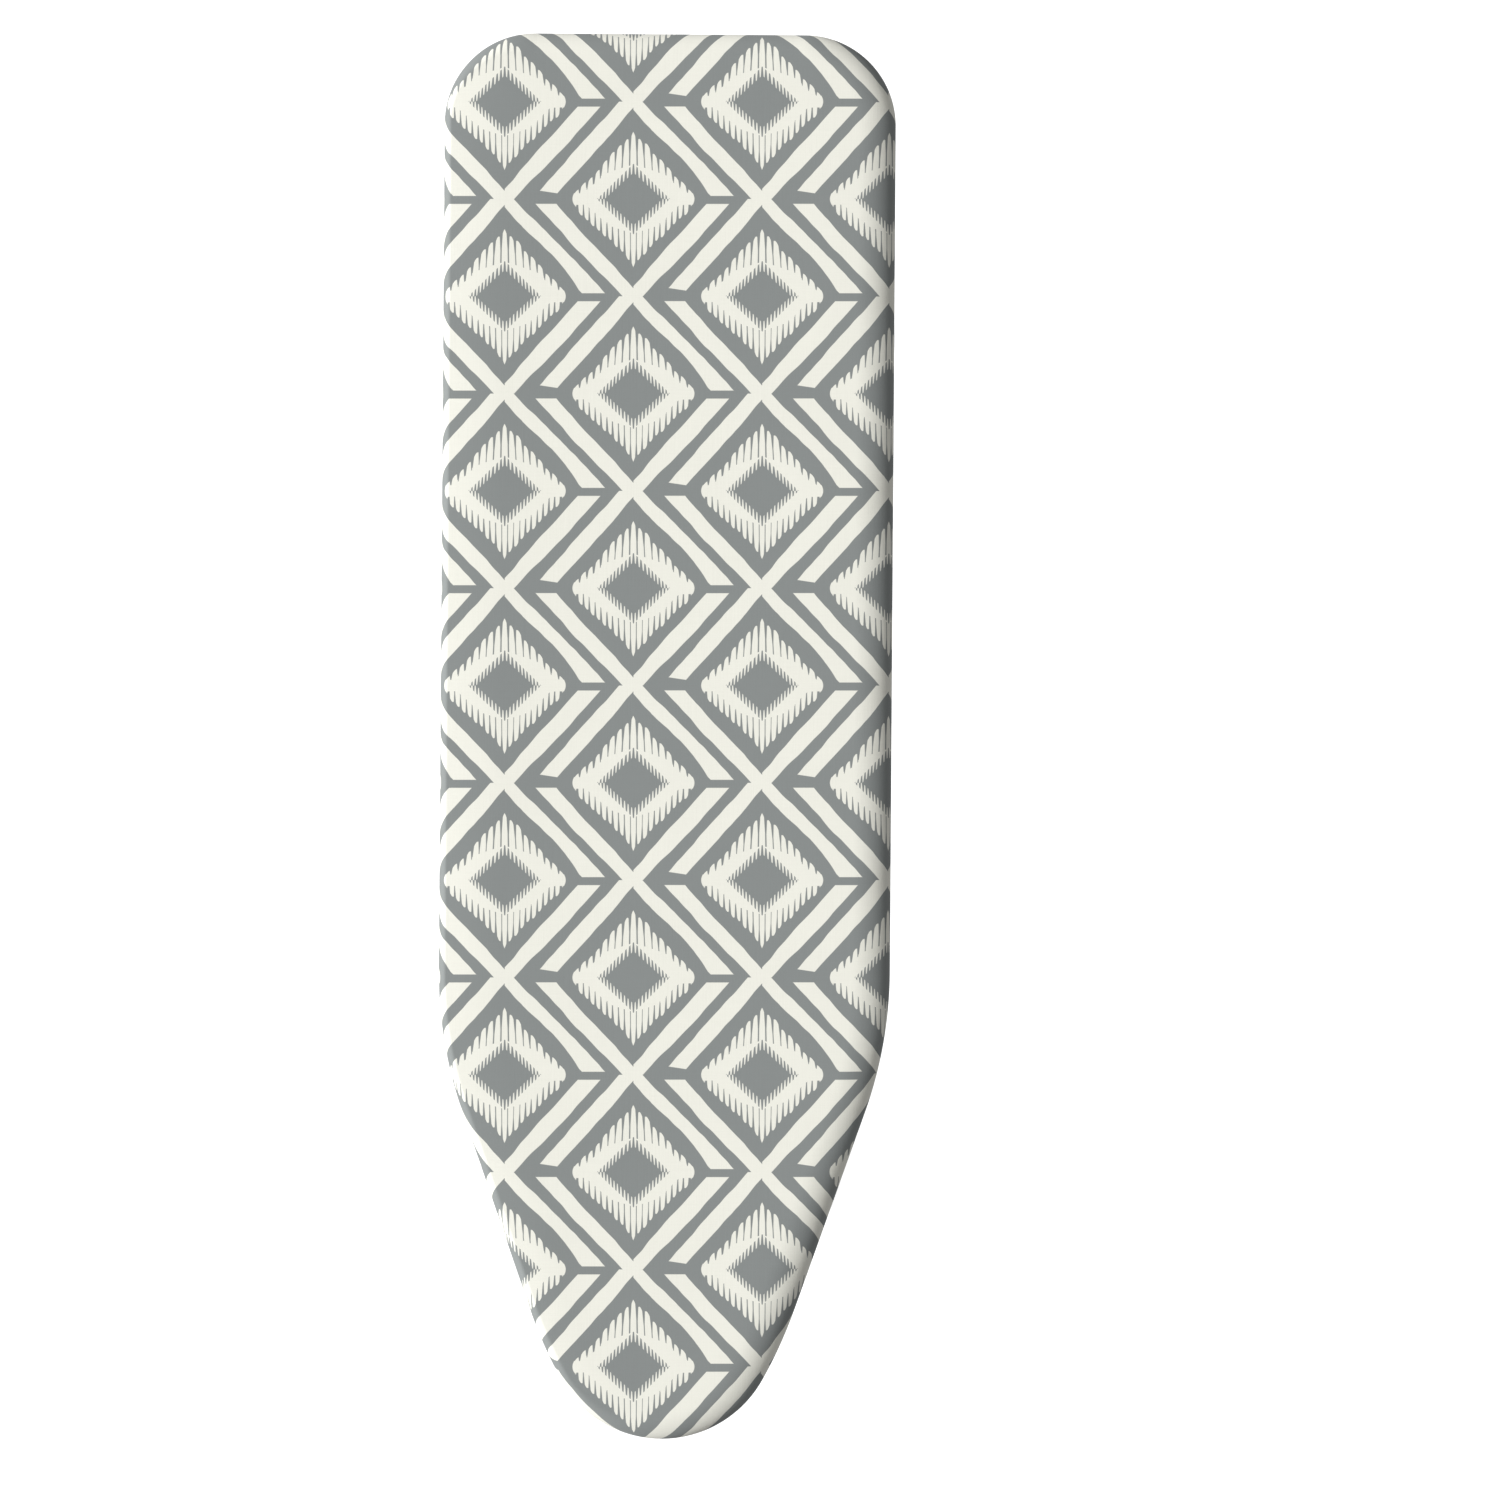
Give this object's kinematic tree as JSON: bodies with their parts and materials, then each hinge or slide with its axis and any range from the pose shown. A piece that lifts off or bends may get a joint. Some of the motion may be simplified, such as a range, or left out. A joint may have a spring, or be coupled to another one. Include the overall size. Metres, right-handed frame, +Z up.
{
  "type": "folding ironing board",
  "caption": "Folding ironing board with a padded, patterned cover over a steel deck, on scissor legs with a height lever.",
  "frame": {"origin": "on the floor, midway along and across the covered board, with the legs open at their highest setting", "axes": "+X along the board to its rounded nose, +Y to the board's own left, +Z up"},
  "size_m": [1.206, 0.386, 0.88],
  "materials": {
    "printed_cotton": "matte printed cotton, grey with a cream lattice",
    "felt_pad": "needled felt",
    "elastic_tape": "woven elastic",
    "grey_enamel": "silver-grey powder coat",
    "zinc_steel": "zinc plated",
    "dark_plastic": "moulded, fine texture",
    "white_nylon": "natural nylon",
    "spring_steel": "bare wire"
  },
  "bodies": {
    "board": {"cover": "printed_cotton", "pad": "felt_pad", "deck_sheet": "grey_enamel", "rim": "grey_enamel", "hem_elastic": "elastic_tape", "rear_cross_channel": "grey_enamel", "middle_cross_channel": "grey_enamel", "front_cross_channel": "grey_enamel", "slide_rail_left": "grey_enamel", "slide_rail_right": "grey_enamel", "hinge_bracket_left": "zinc_steel", "hinge_bracket_right": "zinc_steel", "hinge_pin_left": "zinc_steel", "hinge_pin_right": "zinc_steel", "lever_bearing_front": "zinc_steel", "lever_bearing_rear": "zinc_steel", "lever_spring": "spring_steel"},
    "outer_leg": {"outer_leg_tube_left": "grey_enamel", "outer_leg_tube_right": "grey_enamel", "outer_leg_brace": "grey_enamel", "outer_foot_bar": "grey_enamel", "outer_foot_cap_left": "dark_plastic", "outer_foot_cap_right": "dark_plastic", "outer_tube_plug_left": "dark_plastic", "outer_tube_plug_right": "dark_plastic", "cross_bolt_left": "zinc_steel", "cross_bolt_right": "zinc_steel", "cross_cap_nut_left": "zinc_steel", "cross_cap_nut_right": "zinc_steel", "cross_spacer_left": "white_nylon", "cross_spacer_right": "white_nylon"},
    "inner_leg": {"inner_leg_tube_left": "grey_enamel", "inner_leg_tube_right": "grey_enamel", "inner_leg_brace": "grey_enamel", "inner_foot_bar": "grey_enamel", "inner_foot_cap_left": "dark_plastic", "inner_foot_cap_right": "dark_plastic", "inner_tube_plug_left": "dark_plastic", "inner_tube_plug_right": "dark_plastic", "catch_rod": "zinc_steel", "rail_glide_left": "white_nylon", "rail_glide_right": "white_nylon"},
    "release_lever": {"lever_rod": "zinc_steel", "lever_grip": "dark_plastic", "latch_rack": "zinc_steel"}
  },
  "joints": [
    {"name": "legs_fold", "type": "hinge", "parent": "board", "child": "outer_leg", "pos_m": [0.3, 0, 0.838], "axis": [0, 1, 0], "range_deg": [0, 47]},
    {"name": "leg_cross", "type": "hinge", "parent": "outer_leg", "child": "inner_leg", "pos_m": [0.02462, 0, 0.52088], "axis": [0, 1, 0], "range_deg": [-94, 0]},
    {"name": "lever_squeeze", "type": "hinge", "parent": "board", "child": "release_lever", "pos_m": [-0.4, 0.038, 0.849], "axis": [1, 0, 0], "range_deg": [0, 12], "stiffness_Nm_per_rad": 6, "springref_deg": -11.46, "deforming": ["lever_spring"]}
  ],
  "couplings": [
    {"joint": "leg_cross", "follows": "legs_fold", "ratio": -2}
  ]
}
